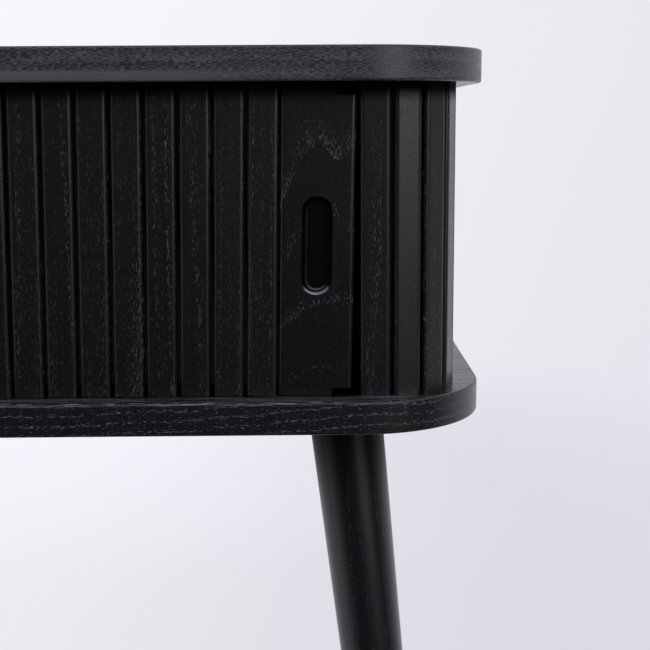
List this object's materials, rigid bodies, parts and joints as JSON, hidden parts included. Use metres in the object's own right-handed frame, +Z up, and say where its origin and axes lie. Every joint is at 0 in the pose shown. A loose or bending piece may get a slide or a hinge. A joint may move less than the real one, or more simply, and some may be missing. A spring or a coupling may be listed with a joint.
{
  "type": "side table",
  "caption": "Low side table on four splayed legs: rounded top and base panels hold a ribbed cabinet whose slatted tambour door slides round the front left corner.",
  "frame": {"origin": "on the floor under the middle of the table's outline", "axes": "+Z up, the tambour front faces -Y, +X to the right as one faces the front"},
  "size_m": [0.59, 0.45, 0.45],
  "materials": {
    "panel_veneer": "open-pore ash veneer, stained black, satin lacquer",
    "edge_veneer": "ash edge band, grain along the edge, stained black, satin lacquer",
    "slat_ash": "ash slats, upright open-pore grain, stained black, satin",
    "leg_ash": "turned ash, stained black, satin",
    "carcass_ply": "veneered board, stained black, matt",
    "canvas": "black cotton canvas",
    "zinc_steel": "zinc-plated steel",
    "rubber_stop": "black rubber",
    "glide": "black nylon",
    "beech": "plain beech dowel"
  },
  "bodies": {
    "cabinet": {"base_panel": "panel_veneer", "base_edge_band": "edge_veneer", "top_panel": "panel_veneer", "top_edge_band": "edge_veneer", "right_front_post": "carcass_ply", "right_wall": "carcass_ply", "right_rear_post": "carcass_ply", "back_board": "carcass_ply", "left_shell": "carcass_ply", "left_partition": "carcass_ply", "curtain_stop": "rubber_stop", "fixed_slats_front": "slat_ash", "fixed_slats_right": "slat_ash", "fixed_slats_back": "slat_ash", "fixed_slats_left": "slat_ash", "fixed_slats_left_corner": "slat_ash", "leg_front_right": "leg_ash", "leg_front_left": "leg_ash", "leg_back_right": "leg_ash", "leg_back_left": "leg_ash", "leg_bolts": "zinc_steel", "leg_inserts": "zinc_steel", "foot_glides": "glide", "panel_screws": "zinc_steel", "wall_dowels": "beech"},
    "door_lead": {"lead_slat": "slat_ash", "canvas_batten": "carcass_ply", "batten_screws": "zinc_steel", "canvas_01": "canvas", "door_slat_01": "slat_ash"},
    "curtain_02": {"door_slat_02": "slat_ash", "canvas_02": "canvas"},
    "curtain_03": {"door_slat_03": "slat_ash", "canvas_03": "canvas"},
    "curtain_04": {"door_slat_04": "slat_ash", "canvas_04": "canvas"},
    "curtain_05": {"door_slat_05": "slat_ash", "canvas_05": "canvas"},
    "curtain_flight": {"door_slat_06": "slat_ash", "door_slat_07": "slat_ash", "door_slat_08": "slat_ash", "door_slat_09": "slat_ash", "door_slat_10": "slat_ash", "door_slat_11": "slat_ash", "door_slat_12": "slat_ash", "door_slat_13": "slat_ash", "door_slat_14": "slat_ash", "door_slat_15": "slat_ash", "door_slat_16": "slat_ash", "door_slat_17": "slat_ash", "door_slat_18": "slat_ash", "door_slat_19": "slat_ash", "canvas_flight": "canvas"},
    "curtain_20": {"door_slat_20": "slat_ash", "canvas_20": "canvas"},
    "curtain_21": {"door_slat_21": "slat_ash", "canvas_21": "canvas"}
  },
  "joints": [
    {"name": "door_slide", "type": "slide", "parent": "cabinet", "child": "door_lead", "axis": [-1, 0, 0], "range_m": [0, 0.36], "deforming": ["door_slat_02", "canvas_02", "door_slat_03", "canvas_03", "door_slat_04", "canvas_04", "door_slat_05", "canvas_05", "door_slat_06", "door_slat_07", "door_slat_08", "door_slat_09", "door_slat_10", "door_slat_11", "door_slat_12", "door_slat_13", "door_slat_14", "door_slat_15", "door_slat_16", "door_slat_17", "door_slat_18", "door_slat_19", "canvas_flight", "door_slat_20", "canvas_20", "door_slat_21", "canvas_21"]},
    {"name": "curtain_turn_02", "type": "hinge", "parent": "door_lead", "child": "curtain_02", "pos_m": [0.1499, -0.2, 0.337], "axis": [0, 0, -1], "range_deg": [0, 7.89]},
    {"name": "curtain_turn_03", "type": "hinge", "parent": "door_lead", "child": "curtain_03", "pos_m": [0.13397, -0.19894, 0.337], "axis": [0, 0, -1], "range_deg": [0, 37.05]},
    {"name": "curtain_turn_04", "type": "hinge", "parent": "door_lead", "child": "curtain_04", "pos_m": [0.12296, -0.19581, 0.337], "axis": [0, 0, -1], "range_deg": [0, 67.57]},
    {"name": "curtain_turn_05", "type": "hinge", "parent": "door_lead", "child": "curtain_05", "pos_m": [0.11491, -0.19182, 0.337], "axis": [0, 0, -1], "range_deg": [0, 89.38]},
    {"name": "curtain_turn_flight", "type": "hinge", "parent": "door_lead", "child": "curtain_flight", "pos_m": [0.11448, -0.19152, 0.337], "axis": [0, 0, -1], "range_deg": [0, 90.3]},
    {"name": "curtain_turn_20", "type": "hinge", "parent": "curtain_flight", "child": "curtain_20", "pos_m": [-0.2101, -0.2, 0.337], "axis": [0, 0, -1], "range_deg": [-7.89, 0]},
    {"name": "curtain_turn_21", "type": "hinge", "parent": "curtain_20", "child": "curtain_21", "pos_m": [-0.22992, -0.19736, 0.337], "axis": [0, 0, -1], "range_deg": [-29.46, 0]}
  ],
  "couplings": [
    {"joint": "curtain_turn_02", "follows": "door_slide", "rad_per_m": 0.36818},
    {"joint": "curtain_turn_03", "follows": "door_slide", "rad_per_m": 1.7819},
    {"joint": "curtain_turn_04", "follows": "door_slide", "rad_per_m": 3.2613},
    {"joint": "curtain_turn_05", "follows": "door_slide", "rad_per_m": 4.3185},
    {"joint": "curtain_turn_flight", "follows": "door_slide", "rad_per_m": 4.3633},
    {"joint": "curtain_turn_20", "follows": "door_slide", "rad_per_m": -0.36818},
    {"joint": "curtain_turn_21", "follows": "door_slide", "rad_per_m": -1.4137}
  ]
}
